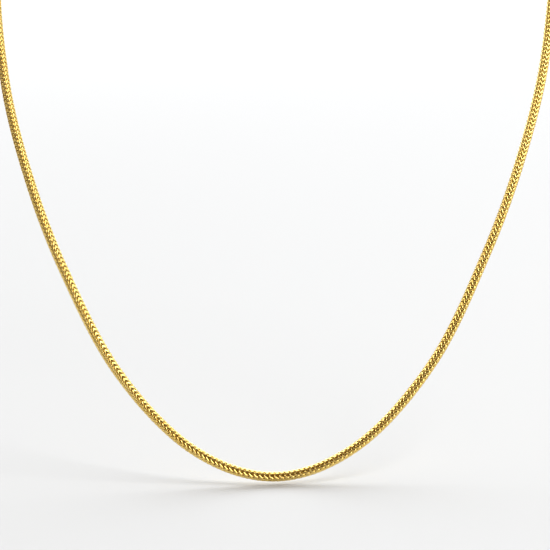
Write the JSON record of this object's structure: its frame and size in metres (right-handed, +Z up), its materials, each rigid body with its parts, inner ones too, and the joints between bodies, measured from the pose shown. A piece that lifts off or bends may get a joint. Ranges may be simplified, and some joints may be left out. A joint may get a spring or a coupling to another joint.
{
  "type": "wheat chain necklace",
  "caption": "Closed wheat-weave neck chain in polished yellow metal, in its hanging form, with end caps, jump rings and a lobster clasp at the nape.",
  "frame": {"origin": "the middle of the clasp line at the nape, where the chain lies on the back of the neck", "axes": "+Z up as worn, -Y towards the front of the neck, +X to the right of a viewer who faces the front"},
  "size_m": [0.1242, 0.0954, 0.1365],
  "materials": {
    "gold_chain": "polished yellow gold wire, woven",
    "gold_findings": "polished yellow gold"
  },
  "bodies": {
    "root": {"chain_left": "gold_chain", "chain_right": "gold_chain", "end_cap_left": "gold_findings", "end_cap_right": "gold_findings", "jump_ring_left": "gold_findings", "jump_ring_right": "gold_findings", "clasp": "gold_findings"}
  },
  "joints": []
}
